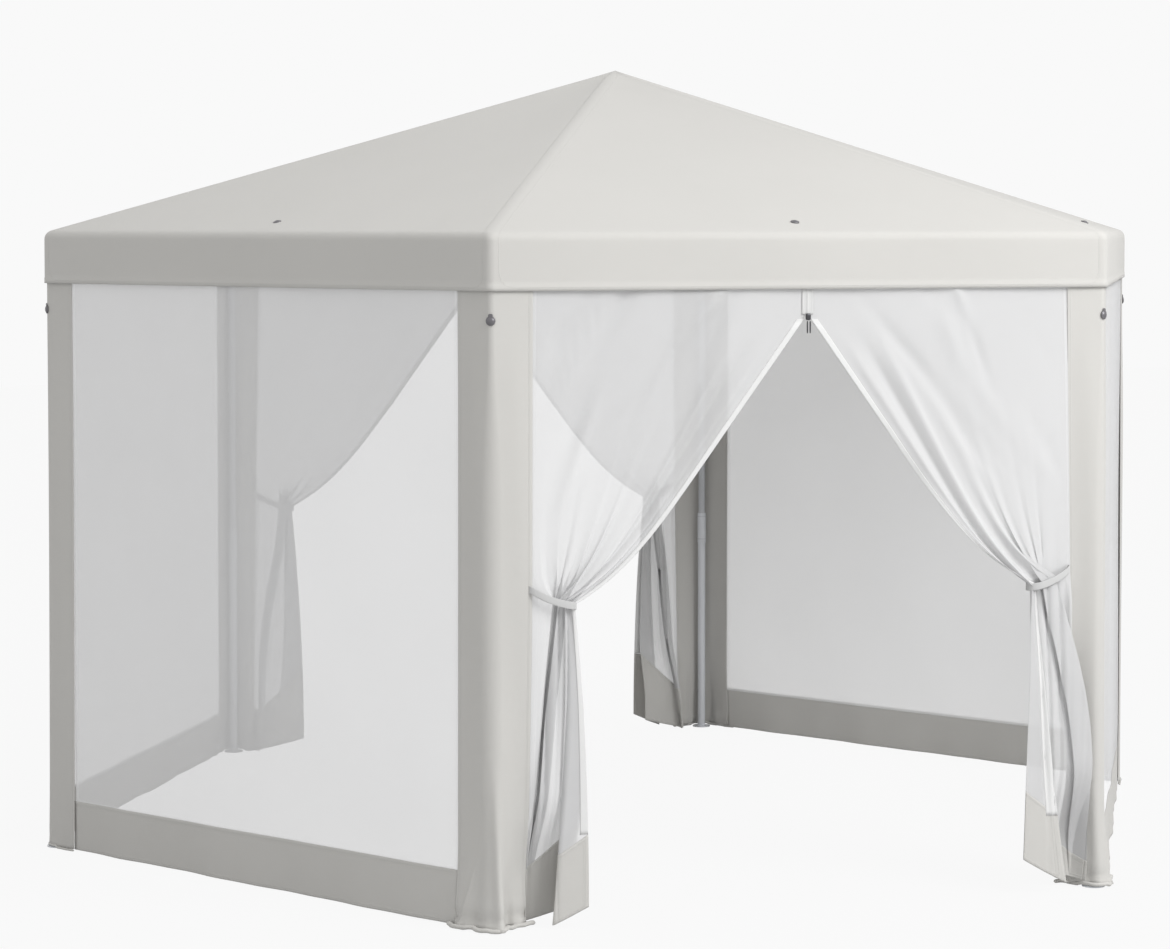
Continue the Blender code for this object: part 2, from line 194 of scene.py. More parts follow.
def slabPatch(centre, axes, halves, squareness, steps):
    # a ball squared into a rounded slab: its sines and cosines are raised to a low power
    def power(x):
        return np.sign(x) * np.abs(x) ** squareness
    down = np.linspace(0, pi, steps)[:, None]
    around = np.arange(2 * steps)[None, :] * pi / steps
    local = (power(np.sin(down)) * power(np.cos(around)) * halves[0],
             power(np.sin(down)) * power(np.sin(around)) * halves[1],
             power(np.cos(down)) * halves[2])
    points = np.array(centre, float) + sum(
        part[..., None] * np.array(axis, float) for part, axis in zip(np.broadcast_arrays(*local), axes))
    flat = stacked(np.arange(2 * steps + 1)[None, :] * 0.002, -down * 0.01)
    return patch(points, flat, closed=True)


def signed(operation, turned=False):
    # what a sign between two values does: it adds one Math node
    def method(self, other):
        values = (other, self) if turned else (self, other)
        return self.finish.calculate(operation, *values)
    return method


class Wire:
    # a node's output that can stand in a sum
    def __init__(self, finish, socket):
        self.finish = finish
        self.socket = socket

    __add__, __radd__ = signed("ADD"), signed("ADD", turned=True)
    __sub__, __rsub__ = signed("SUBTRACT"), signed("SUBTRACT", turned=True)
    __mul__, __rmul__ = signed("MULTIPLY"), signed("MULTIPLY", turned=True)
    __truediv__, __rtruediv__ = signed("DIVIDE"), signed("DIVIDE", turned=True)
    __gt__ = signed("GREATER_THAN")


def shaded(colour, share):
    return tuple(share * part for part in colour)


class Finish:
    # a material built round one Principled shader
    def __init__(self, name, **constants):
        self.material = bpy.data.materials.new(name)
        self.material.use_nodes = True
        self.tree = self.material.node_tree
        self.shader = self.tree.nodes["Principled BSDF"]
        for socket, value in constants.items():
            self.shader.inputs[socket.replace("_", " ")].default_value = value

    def node(self, kind, settings=None, values=None, output=0):
        made = self.tree.nodes.new(kind)
        for key, value in (settings or {}).items():
            setattr(made, key, value)
        for key, value in (values or {}).items():
            if isinstance(value, Wire):
                self.tree.links.new(value.socket, made.inputs[key])
            else:
                made.inputs[key].default_value = value
        return Wire(self, made.outputs[output])

    def calculate(self, operation, *values):
        return self.node("ShaderNodeMath", {"operation": operation}, dict(enumerate(values)))

    def sine(self, place, pitch):
        # one wave along a place for each pitch
        return self.calculate("SINE", place * (2 * pi / pitch))

    def clamp(self, value):
        return self.calculate("MINIMUM", self.calculate("MAXIMUM", value, 0.0), 1.0)

    def near(self, value, middle, width):
        # 1 where value is at middle, falling to 0 at width from it
        return self.clamp(1 - self.calculate("ABSOLUTE", value - middle) / width)

    def mix(self, factor, first, second):
        colours = [c if isinstance(c, Wire) else (*c, 1.0) for c in (first, second)]
        values = {0: factor, 6: colours[0], 7: colours[1]}
        return self.node("ShaderNodeMix", {"data_type": "RGBA"}, values, 2)

    def object(self):
        return self.node("ShaderNodeTexCoord", output="Object")

    def flat(self):
        return self.node("ShaderNodeUVMap", {"uv_map": "flat"})

    def edge(self):
        return self.node("ShaderNodeAttribute", {"attribute_name": "edge"}, None, "Fac")

    def split(self, vector):
        return [self.node("ShaderNodeSeparateXYZ", None, {0: vector}, axis) for axis in range(3)]

    def stretched(self, vector, scale):
        return self.node("ShaderNodeMapping", None, {"Vector": vector, "Scale": scale})

    def noise(self, vector, scale, detail):
        values = {"Vector": vector, "Scale": scale, "Detail": detail, "Roughness": 0.55}
        return self.node("ShaderNodeTexNoise", None, values)

    def bump(self, height, strength):
        return self.node("ShaderNodeBump", None, {"Height": height, "Strength": strength, "Distance": 1.0})

    def attach(self, **sockets):
        for socket, wire in sockets.items():
            self.tree.links.new(wire.socket, self.shader.inputs[socket.replace("_", " ")])
        return self.material


cloth = {
    "colour": (0.585, 0.575, 0.552), "deep": (0.545, 0.536, 0.512), "roughness": 0.78, "roughVaries": 0.08,
    "weavePitch": 0.0016, "weaveHeight": 0.00012, "slub": (14.0, 420.0, 1.0), "slubHeight": 0.0002,
    "cloudScale": 2.2, "cloudHeight": 0.0016, "hemWidth": 0.013, "hemHeight": 0.0007, "hemRamp": 0.0012,
    "stitchAt": 0.009, "stitchWidth": 0.0011, "stitchLength": 0.0042, "stitchDepth": 0.0006,
    "stitchShade": 0.72, "stitchGap": -0.35, "slubShare": 0.35,
}


def clothFinish(name):
    # plain-woven polyester, its weave the product of two sines of the flat place, with faint slubs along the
    # weft and a stitched fold along each sewn edge
    finish = Finish(name, Sheen_Weight=0.12, Sheen_Roughness=0.6, Specular_IOR_Level=0.3)
    across, down, _ = finish.split(finish.flat())
    edge = finish.edge()
    slubs = finish.noise(finish.stretched(finish.flat(), cloth["slub"]), 1.0, 2.0)
    clouds = finish.noise(finish.object(), cloth["cloudScale"], 4.0)
    fold = finish.clamp((cloth["hemWidth"] - edge) / cloth["hemRamp"])
    dash = finish.sine(across + down, cloth["stitchLength"]) > cloth["stitchGap"]
    stitch = finish.near(edge, cloth["stitchAt"], cloth["stitchWidth"]) * dash
    shade = finish.clamp(cloth["slubShare"] * slubs + (1 - cloth["slubShare"]) * clouds)
    colour = finish.mix(shade, cloth["colour"], cloth["deep"])
    colour = finish.mix(0.5 * stitch, colour, shaded(cloth["colour"], cloth["stitchShade"]))
    weave = finish.sine(across, cloth["weavePitch"]) * finish.sine(down, cloth["weavePitch"])
    height = (cloth["weaveHeight"] * weave + cloth["hemHeight"] * fold - cloth["stitchDepth"] * stitch
              + cloth["cloudHeight"] * clouds + cloth["slubHeight"] * slubs)
    return finish.attach(
        Base_Color=colour,
        Roughness=cloth["roughness"] + cloth["roughVaries"] * (slubs - 0.5),
        Normal=finish.bump(height, 0.8))


net = {
    "colour": (0.88, 0.88, 0.885), "hole": 0.0018, "roughness": 0.85, "contrast": 0.22, "cloudCover": 0.06,
    "cloudScale": 3.0, "cloudShade": 0.97, "hemWidth": 0.014, "hemRamp": 0.0015, "hemCover": 0.10,
}
meanHole = 0.405             # what the product of the net's two sines comes to on average


def netFinish(name, cover, paintedFoldShade=1.0):
    # mosquito net: a share of the light goes straight through, and less of it at a folded edge; its colour
    # can be darkened by a factor, a painted shade for the shade among gathered folds
    finish = Finish(name, Roughness=net["roughness"], Specular_IOR_Level=0.15, Sheen_Weight=0.08)
    across, down, _ = finish.split(finish.flat())
    pitch = 2 * net["hole"]
    hole = (finish.calculate("ABSOLUTE", finish.sine(across, pitch))
            * finish.calculate("ABSOLUTE", finish.sine(down, pitch)))
    clouds = finish.noise(finish.object(), net["cloudScale"], 3.0)
    fold = finish.clamp((net["hemWidth"] - finish.edge()) / net["hemRamp"])
    alpha = cover + net["contrast"] * (meanHole - hole) + net["cloudCover"] * (clouds - 0.5)
    alpha = finish.clamp(alpha + net["hemCover"] * fold)
    bright = shaded(net["colour"], paintedFoldShade)
    colour = finish.mix(clouds, bright, shaded(bright, net["cloudShade"]))
    return finish.attach(Base_Color=colour, Alpha=alpha)


tape = {
    "colour": (0.90, 0.90, 0.895), "roughness": 0.7, "roughVaries": 0.06, "rib": 0.0022,
    "ribHeight": 0.00015, "cloudScale": 6.0, "cloudHeight": 0.0003, "cloudShade": 0.95,
}


def tapeFinish(name, brightness):
    # ribbed white tape
    finish = Finish(name, Specular_IOR_Level=0.3, Sheen_Weight=0.1)
    down = finish.split(finish.flat())[1]
    rib = finish.sine(down, tape["rib"])
    clouds = finish.noise(finish.object(), tape["cloudScale"], 3.0)
    bright = shaded(tape["colour"], brightness)
    return finish.attach(
        Base_Color=finish.mix(clouds, bright, shaded(bright, tape["cloudShade"])),
        Roughness=tape["roughness"] + tape["roughVaries"] * (clouds - 0.5),
        Normal=finish.bump(tape["ribHeight"] * rib + tape["cloudHeight"] * clouds, 0.6))


tube = {
    # painted light: the lower legs are the same steel as the upper legs and rails, coloured lighter for the
    # brighter light that falls on them low down
    "lower": (0.80, 0.82, 0.86), "upper": (0.62, 0.635, 0.665), "rail": (0.60, 0.61, 0.63),
    "metal": 0.15, "roughness": 0.46, "roughVaries": 0.16, "peel": 0.00008, "peelScale": 420.0,
    "marks": (60.0, 60.0, 5.0), "markAndPaintedGrooveShade": 0.74, "grooves": (0.755, 0.845), "grooveHalf": 0.0022,
    "grooveDepth": 0.0012,
}


def tubeFinish(name, colour, collar=False):
    # powder-coated steel: fine orange peel, faint handling marks, and grooves rolled into the collar, which
    # also get a painted shade in their colour
    finish = Finish(name, Metallic=tube["metal"])
    spot = finish.object()
    height = finish.split(spot)[2]
    peel = finish.noise(spot, tube["peelScale"], 2.0)
    marks = finish.noise(finish.stretched(spot, tube["marks"]), 1.0, 3.0)
    relief = tube["peel"] * peel
    shade = finish.clamp(marks * 0.8)
    if collar:
        lower, upper = (finish.near(height, level, tube["grooveHalf"]) for level in tube["grooves"])
        grooves = lower + upper
        relief = relief - tube["grooveDepth"] * grooves
        # painted shade: the collar's grooves are darkened in the colour as well as sunk in the bump
        shade = finish.clamp(shade + grooves)
    return finish.attach(
        Base_Color=finish.mix(shade, colour, shaded(colour, tube["markAndPaintedGrooveShade"])),
        Roughness=tube["roughness"] + tube["roughVaries"] * (marks - 0.5),
        Normal=finish.bump(relief, 0.7))


moulded = {"grainScale": 600.0, "grainHeight": 0.00006, "rubbingScale": 40.0, "rubbedShade": 1.35,
           "roughVaries": 0.15}


def mouldedFinish(name, colour, metallic=0.0, roughness=0.45):
    # moulded plastic or cast metal with a fine grain and rubbed places
    finish = Finish(name, Metallic=metallic)
    spot = finish.object()
    grain = finish.noise(spot, moulded["grainScale"], 2.0)
    rubbed = finish.noise(spot, moulded["rubbingScale"], 3.0)
    return finish.attach(
        Base_Color=finish.mix(rubbed, colour, shaded(colour, moulded["rubbedShade"])),
        Roughness=roughness + moulded["roughVaries"] * (rubbed - 0.5),
        Normal=finish.bump(moulded["grainHeight"] * grain, 0.6))


roofCloth = clothFinish("roofCloth")
sleeveCloth = clothFinish("sleeveCloth")
wallNet = netFinish("wallNet", 0.66)
# painted shade: the curtains are the same net as the walls, their colour darkened to 0.76 for the shade
# among their folds
curtainNet = netFinish("curtainNet", 0.74, 0.76)
binding = tapeFinish("binding", 0.82)
strapTape = tapeFinish("strapTape", 0.62)
zipTape = tapeFinish("zipTape", 0.70)
lowerTube = tubeFinish("lowerTube", tube["lower"], collar=True)
upperTube = tubeFinish("upperTube", tube["upper"])
railTube = tubeFinish("railTube", tube["rail"])
fittingPlastic = mouldedFinish("fittingPlastic", (0.16, 0.16, 0.17))
knobMetal = mouldedFinish("knobMetal", (0.17, 0.165, 0.175), 0.6, 0.38)
sliderMetal = mouldedFinish("sliderMetal", (0.07, 0.07, 0.075), 0.8, 0.35)
nodeFinishes = {"leg_lower": lowerTube, "leg_upper": upperTube, "corner_fitting": fittingPlastic,
                "apex_hub": fittingPlastic, "rafter": railTube, "eave_rail": railTube}
for name, node in nodes.items():
    for start, finish in nodeFinishes.items():
        if name.startswith(start):
            for place in node.material_slots:
                place.material = finish
print("materials ready")


roof = {
    "valanceDepth": 0.163, "eaveRounding": 0.030, "cornerRounding": 0.030, "ridgeRounding": 0.028,
    "sag": 0.010, "ripple": 0.0012, "ripples": 9, "wave": 0.0022, "waves": 5, "thickness": 0.0012,
    "hem": 0.018, "hemProud": 0.0008, "hemStep": 0.0012, "seamAllowance": 0.13,
    "arcSteps": 5, "sideSteps": 40, "slopeSteps": 44, "eaveSteps": 8, "valanceSteps": 12,
}


def roofProfile():
    # straight down from the peak, through an arc at the eave, and down again as a valance with its hem
    eave = hemHeight + roof["valanceDepth"]
    slope = atan2(apexHeight - eave, roofFlat)
    turning = pi / 2 - slope
    centreOut = roofFlat - roof["eaveRounding"]
    centreUp = eave - roof["eaveRounding"] * tan(turning / 2)
    arc = np.linspace(turning, 0, roof["eaveSteps"])
    arcOut = centreOut + roof["eaveRounding"] * np.cos(arc)
    arcUp = centreUp + roof["eaveRounding"] * np.sin(arc)
    slopeOut = np.linspace(0, 1, roof["slopeSteps"]) ** 0.85 * arcOut[0]
    hang = np.linspace(arcUp[-1], hemHeight + roof["hem"], roof["valanceSteps"])
    hemUp = np.array([roof["hem"] - roof["hemStep"], roof["hem"] / 2, 0.0]) + hemHeight
    out = np.concatenate([slopeOut[:-1], arcOut, np.full(len(hang) - 1, roofFlat),
                          np.full(3, roofFlat + roof["hemProud"])])
    up = np.concatenate([apexHeight - slopeOut[:-1] * tan(slope), arcUp, hang[1:], hemUp])
    return out, up, slope


def roofPatch():
    # each row is a six-sided ring: arcs at the corners, and straight sides that sag between the rafters
    out, up, slope = roofProfile()
    steps = roof["arcSteps"]
    arcs = np.linspace(0, 1, steps + 1)
    sides = np.linspace(0, 1, roof["sideSteps"] + 1)
    firstArc = np.concatenate([arcs, np.ones(len(sides) - 2 + steps)])
    lastArc = np.concatenate([np.ones(len(sides) - 1 + steps), arcs[:0:-1]])
    share = np.concatenate([np.zeros(steps + 1), sides[1:-1], np.ones(steps)])
    side = np.repeat(np.arange(6), len(share))
    firstArc, lastArc, share = (np.tile(part, 6) for part in (firstArc, lastArc, share))
    reach = (out / roofFlat)[:, None]
    atEave = stepUp(reach, 0.93, 0.07)
    rounding = roof["ridgeRounding"] + (roof["cornerRounding"] - roof["ridgeRounding"]) * atEave
    rounding = np.minimum(rounding, 0.5 * out[:, None])
    hub = (out[:, None] - rounding) / cos(halfSixth)

    def cornerPoint(turn, swing):
        return (hub * np.cos(turn) + rounding * np.cos(turn + swing),
                hub * np.sin(turn) + rounding * np.sin(turn + swing))
    firstX, firstY = cornerPoint(side * sixth, halfSixth * firstArc)
    lastX, lastY = cornerPoint((side + 1) * sixth, -halfSixth * lastArc)
    x = firstX + (lastX - firstX) * share
    y = firstY + (lastY - firstY) * share
    onSlope = (out < roofFlat - roof["eaveRounding"])[:, None]
    belly = np.sin(pi * share) * 4 * reach * unit(1 - reach)
    ripple = np.sin(roof["ripples"] * pi * share + 2.1 * side) * np.sin(pi * share) * reach ** 3
    z = up[:, None] - onSlope * roof["sag"] * belly + onSlope * roof["ripple"] * ripple
    onValance = (out >= roofFlat - 0.000001)[:, None]
    drop = unit((hemHeight + roof["valanceDepth"] - up) / roof["valanceDepth"])[:, None]
    wave = roof["wave"] * drop * np.sin(pi * share) * np.sin(roof["waves"] * pi * share + 1.3 * side)
    push = 1 + wave * onValance / roofFlat
    points = stacked(x * push, y * push, z)
    sideLength = 2 * out[:, None] * tan(halfSixth)
    fall = np.concatenate([[0], np.cumsum(np.hypot(np.diff(out), np.diff(up)))])
    flatShare = np.append(share, 0.0) - 0.5
    flat = stacked(sideLength * flatShare, -fall[:, None])
    toRidge = np.minimum(share, 1 - share) * sideLength
    toHem = (up - hemHeight)[:, None]
    edge = np.where(onSlope, toRidge, np.minimum(toRidge, toHem))
    return patch(points, flat, edge, closed=True)


canopy = makePiece("roof_canopy", [roofPatch()], roofCloth, ["roof_cover"],
                   thickness=roof["thickness"], weld=True)
print("roof cover done")


foot = {
    "flare": 0.022, "flareHeight": 0.26, "foldHeight": 0.42, "foldDepth": 0.0035, "softDepth": 0.0016,
    "tuck": 0.010, "tuckHeight": 0.034, "tuckSpread": 0.016, "discRadius": 0.035, "discTop": 0.004,
    "discRamp": 0.006,
}
# how far the cloth is bunched at each corner's foot
bunching = {"right": 0.0, "back_right": 0.7, "back_left": 0.5, "left": 0.12, "front_left": 1.0,
            "front_right": 0.8}
# upright folds of a sleeve's foot: share at the ground, its drift per metre up, width, depth, top
footFolds = {
    "front_left": (
        (0.20, -0.25, 0.10, 0.020, 0.50), (0.46, -0.2, 0.16, -0.034, 0.20), (-0.86, 2.4, 0.05, 0.006, 0.34),
        (-0.35, 0.3, 0.20, -0.007, 0.40), (0.85, -0.1, 0.12, 0.012, 0.16)),
    "front_right": (
        (-0.62, 0.5, 0.12, 0.014, 0.42), (-0.30, 0.2, 0.12, -0.012, 0.30), (-0.20, -0.3, 0.10, -0.009, 0.34),
        (0.30, 0.2, 0.12, 0.014, 0.24), (0.62, -0.2, 0.16, -0.012, 0.30)),
}
# Beside a doorway the tied curtain draws the sleeve's edge inwards and towards its corner: the doorway's
# side, how far inwards at the ground, how far again in the hollow under the gathered net, share narrowed
drawn = {"front_left": (1, 0.045, 0.020, 0.05), "front_right": (-1, 0.045, 0.045, 0.30),
         "back_right": (1, 0.030, 0.0, 0.10), "back_left": (-1, 0.030, 0.0, 0.38)}
pull = {"top": 0.95, "power": 1.3, "hollowTop": 0.34, "hollowStep": 0.20}


def wave(turns):
    return np.sin(2 * pi * turns)


def low(height, top):
    # 1 on the ground, falling evenly to 0 at the top
    return unit(1 - height / top)


def pulledIn(height, corner):
    # more and more from the tie to the ground, and a step deeper in the hollow
    _, inwards, hollow, _ = drawn[corner]
    deeper = ease((pull["hollowTop"] - height) / pull["hollowStep"])
    return inwards * low(height, pull["top"]) ** pull["power"] + hollow * deeper


def narrowed(height, corner):
    # the sewn edge's way towards the corner, evenly from under the roof to the ground
    return drawn[corner][3] * sleeveWing * low(height, clothTop)


def flareOut(height):
    # the cloth is a little long, so its foot spreads by the square of the distance down
    return foot["flare"] * low(height, foot["flareHeight"]) ** 2


clothThickness = 0.0010
sleeve = {
    "proud": 0.0025, "topRounding": 0.020, "lowRounding": 0.055, "roundFrom": 1.72, "roundTo": 1.20,
    "roundGain": 0.0055, "columns": 90, "rows": 120, "uneven": 0.003,
    "hemRadius": 0.0075, "hemWaves": 0.0045, "hemRise": 0.0035, "hemColumns": 90, "hemSides": 14,
}


def sleeveSection(share, rounding):
    # two straight wings joined by an arc round the leg; share runs from -1 to 1 along the cloth
    arcHalf = rounding * halfSixth
    straight = sleeveWing - rounding * tan(halfSixth)
    run = np.abs(share) * (arcHalf + straight)
    turn = np.minimum(run / rounding, halfSixth)
    beyond = np.maximum(run - arcHalf, 0)
    centre = clothCorner - rounding / cos(halfSixth)
    out = centre + rounding * np.cos(turn) - beyond * sin(halfSixth)
    across = np.sign(share) * (rounding * np.sin(turn) + beyond * cos(halfSixth))
    return across, out, np.sign(share) * turn


def rounded(height):
    return ease((sleeve["roundFrom"] - height) / (sleeve["roundFrom"] - sleeve["roundTo"]))


def drawnIn(across, push, share, height, corner):
    # the wing beside a doorway goes with its curtain
    if corner not in drawn:
        return across, push
    side = drawn[corner][0]
    beside = stepUp(side * share, 0.05, 0.95)
    return across - side * narrowed(height, corner) * beside, push - pulledIn(height, corner) * beside


def sleevePoint(share, height, look):
    # the section rounds off down the leg; low down the folds deepen, and the hem tucks and flares
    phases = look["phases"]
    lower = rounded(height)
    rounding = sleeve["topRounding"] + (sleeve["lowRounding"] - sleeve["topRounding"]) * lower
    across, out, turn = sleeveSection(share, rounding)
    folds = foot["foldDepth"] * wave(0.85 * share + phases[0]) * low(height, foot["foldHeight"])
    for place, drift, width, depth, top in look["creases"]:
        folds = folds + depth * bell(share - place, drift * height, width) * low(height, top) ** 1.2
    soft = foot["softDepth"] * np.sin(2 * pi * (0.9 * share + phases[1]) + 2.2 * height)
    soft = soft * (1 - stepUp(height, 1.5, 0.3))
    tuck = foot["tuck"] * bell(height, foot["tuckHeight"], foot["tuckSpread"])
    tuck = tuck * (0.75 + 0.25 * wave(1.6 * share + phases[3]))
    push = look["bunch"] * (folds + flareOut(height) - tuck)
    push = sleeve["proud"] + sleeve["roundGain"] * lower * (1 - share ** 2) + push + soft
    across, push = drawnIn(across, push, share, height, look["corner"])
    return across + push * np.sin(turn), out + push * np.cos(turn)


def onFootDisc(points, turn, clear):
    # within the foot disc's rim, cloth that would be lower than its top rests on it
    away = np.hypot(points[..., 0] - legCircle * cos(turn), points[..., 1] - legCircle * sin(turn))
    within = ease((foot["discRadius"] + clear + foot["discRamp"] - away) / foot["discRamp"])
    lift = np.maximum(foot["discTop"] + clear - points[..., 2], 0) * within
    return points + lift[..., None] * np.array([0.0, 0.0, 1.0])


def sleevePatch(look):
    share = np.linspace(-1, 1, sleeve["columns"])[None, :]
    down = np.linspace(0, 1, sleeve["rows"])[:, None] ** 0.8
    height = clothTop + (clothFoot - clothTop) * down
    height = height + sleeve["uneven"] * wave(0.9 * share + look["phases"][2]) * low(height, 0.2)
    across, out = sleevePoint(share, height, look)
    edge = np.minimum((1 - np.abs(share)) * sleeveWing, height - clothFoot + 0.004)
    points = onFootDisc(placed(across, out, height, look["turn"]), look["turn"], 0.002)
    return patch(points, stacked(share * sleeveWing, height), edge)


def footRoll(look):
    # the gathered hem is a soft roll on the ground that wanders round the foot
    turn, phases, bunch = look["turn"], look["phases"], look["bunch"]
    share = np.linspace(-1.0 - 0.2 * bunch, 1.0 + 0.2 * bunch, sleeve["hemColumns"])
    across, out, swing = sleeveSection(share, np.full_like(share, sleeve["lowRounding"]))
    wander = wave(1.1 * share + phases[1]) + 0.35 * wave(2.7 * share + phases[0])
    push = sleeve["proud"] + sleeve["roundGain"] + bunch * (foot["flare"] + sleeve["hemWaves"] * wander)
    across, push = drawnIn(across, push, share, 0.0, look["corner"])
    radius = sleeve["hemRadius"] * (0.45 + 0.55 * bunch)
    rise = sleeve["hemRise"] * bunch * unit(wave(1.3 * share + phases[3]))
    path = placed(across + push * np.sin(swing), out + push * np.cos(swing), radius + rise, turn)
    path = onFootDisc(path, turn, radius + 0.001)
    points, flat = ringSweep(path, radius, 0.86 * radius, sleeve["hemSides"])
    return patch(points, flat, closed=True)


knob = {"height": 1.740, "radius": 0.014, "lift": 0.0012, "tabHalf": (0.0068, 0.0075, 0.0012),
        "tabRise": 0.0125}
button = {                   # a flat dished button with a small dome: radius and height of its profile
    "out": 1.583, "lift": 0.001,
    "profile": ((0, 0.0052), (0.0035, 0.0050), (0.0062, 0.0040), (0.0078, 0.0026), (0.0112, 0.0024),
                (0.0128, 0.0014), (0.0130, -0.0015), (0, -0.0015)),
}


def knobPatches(centre, axis):
    # a clamping screw: washer, low domed head and a short tab standing above it
    r = knob["radius"]
    profile = [(0, 0.0056), (0.3 * r, 0.0054), (0.52 * r, 0.0047), (0.66 * r, 0.0034), (0.72 * r, 0.0022),
               (0.94 * r, 0.0020), (r, 0.0012), (r, -0.0015), (0, -0.0015)]
    axis, upright = Vector(axis).normalized(), Vector((0, 0, 1))
    middle = Vector(centre) + knob["lift"] * axis + knob["tabRise"] * upright
    tab = slabPatch(middle, (upright.cross(axis), upright, axis), knob["tabHalf"], 0.5, 12)
    return [turnedPatch(profile, centre, axis), tab]


generator = np.random.default_rng(7)
for corner, turns in cornerTurns.items():
    phases = generator.uniform(0, 1, 4)
    picks = generator.uniform((-0.8, -0.5, 0.10, -0.016, 0.20), (0.8, 0.5, 0.20, 0.016, 0.45), (5, 5))
    look = {"corner": corner, "turn": turns * sixth, "phases": phases, "bunch": bunching[corner],
            "creases": footFolds.get(corner, picks)}
    wrap = makePiece("sleeve_cloth_" + corner, [sleevePatch(look)], sleeveCloth,
                     ["corner_sleeve_" + corner], thickness=clothThickness)
    makePiece("sleeve_hem_" + corner, [footRoll(look)], sleeveCloth, weld=True)
    head = np.array([cos(look["turn"]), sin(look["turn"]), 0.0])
    _, out = sleevePoint(np.array(0.0001), knob["height"], look)
    centre = head * (float(out) + knob["lift"]) + np.array([0, 0, knob["height"]])
    makePiece("leg_screw_" + corner, knobPatches(centre, head), knobMetal, weld=True)
slope = roofProfile()[2]
reach = button["out"] / roofFlat
height = apexHeight - button["out"] * tan(slope) - roof["sag"] * 4 * reach * (1 - reach) + button["lift"]
for wallName, turns in wallTurns.items():
    outward = Vector((cos(turns * sixth), sin(turns * sixth), 0))
    centre = outward * button["out"] + Vector((0, 0, height))
    axis = sin(slope) * outward + Vector((0, 0, cos(slope)))
    makePiece("roof_screw_" + wallName, [turnedPatch(button["profile"], centre, axis)], knobMetal,
              weld=True)
print("corner sleeves and screws done")


wall = {
    "bandTop": 0.162, "overlap": 0.008, "columns": 110, "netRows": 96, "bandRows": 30, "netBack": 0.0012,
    "bandProud": 0.0004, "bandWider": 0.004, "billow": 0.004,
    "ripples": (0.0012, 0.0010), "footRipples": (0.0035, 0.002),
}


def wallFlare(across, height, wallName):
    # the foot spreads out as far as the corners on either side do
    names = list(cornerTurns)
    left, right = (bunching[names[int(wallTurns[wallName] + half) % 6]] for half in (-0.5, 0.5))
    share = unit(0.5 + across / (2 * panelHalf))
    return 0.8 * flareOut(height) * (left + (right - left) * share)


def wallDepth(across, height, seed, wallName):
    # a slight billow between the corners, crossing ripples, shorter ones low down, and the flare
    shape = np.cos(pi * across / (2 * panelHalf)) * np.sin(pi * unit(height / clothTop))
    long, short = wall["ripples"]
    ripple = (long * np.sin(7.3 * across + 3.1 * height + seed)
              + short * np.sin(15.1 * across - 4.7 * height + 2 * seed))
    long, short = wall["footRipples"]
    foots = long * np.sin(11.7 * across + seed) + short * np.sin(29 * across + 3 * seed)
    out = clothFlat + wall["billow"] * shape * np.sin(seed) + ripple + low(height, 0.2) * foots
    return out + wallFlare(across, height, wallName)


def wallPatch(wallName, seed, top, bottom, rows, proud, reach):
    across = np.linspace(-reach, reach, wall["columns"])[None, :]
    height = np.linspace(top, bottom, rows)[:, None]
    out = wallDepth(across, height, seed, wallName) + proud
    toHem = np.minimum(np.abs(top - height), np.abs(height - bottom) + 0.001)
    points = placed(across, out, height, wallTurns[wallName] * sixth)
    return patch(points, stacked(across, height), np.minimum(reach - np.abs(across), toHem))


for number, wallName in enumerate(closedWalls):
    seed = 1.7 + 2.3 * number
    netFoot = wall["bandTop"] - wall["overlap"]
    netPatch = wallPatch(wallName, seed, clothTop, netFoot, wall["netRows"], -wall["netBack"], panelHalf)
    bandPatch = wallPatch(wallName, seed, wall["bandTop"], clothFoot, wall["bandRows"], wall["bandProud"],
                          panelHalf + wall["bandWider"])
    panel = makePiece("net_panel_" + wallName, [netPatch], wallNet, ["net_wall_" + wallName])
    panel.visible_diffuse = False            # the fine mesh lets the studio light into the room
    panel.visible_shadow = False
    band = makePiece("ground_band_" + wallName, [bandPatch], sleeveCloth,
                     thickness=clothThickness)
print("net walls done")


door = {
    "zipEnd": 1.750, "parting": 0.0015, "setBack": 0.002, "tieHeight": 0.940, "tieSlope": 0.36,
    "tieCentre": 0.757, "neckLead": 0.722, "neckGather": 0.075, "neckEdge": 0.018, "edgeFlat": 0.83,
    "unpack": 0.055, "pocket": 0.075, "pocketFrom": 0.58, "sag": 0.006, "bindingWidth": 0.019,
    "bindingThickness": 0.0024, "skirtProud": 0.0012, "columns": 264,
    "netRows": (20, 50, 42), "packedRows": (1.30, 0.78), "skirtRows": 30,
}
fans = {"count": 7.0, "bias": 0.85, "depth": 0.025, "fadeUp": 0.15, "fadeDown": 0.12}
ridges = {"depth": 0.0068, "lean": 0.62, "wander": 0.035, "fadeUp": 0.05}
wrinkles = {"count": 16, "depth": 0.0115}
leadCreases = ((0.066, 0.007), (0.118, -0.010), (0.168, 0.008))    # share and height, beside the free edge
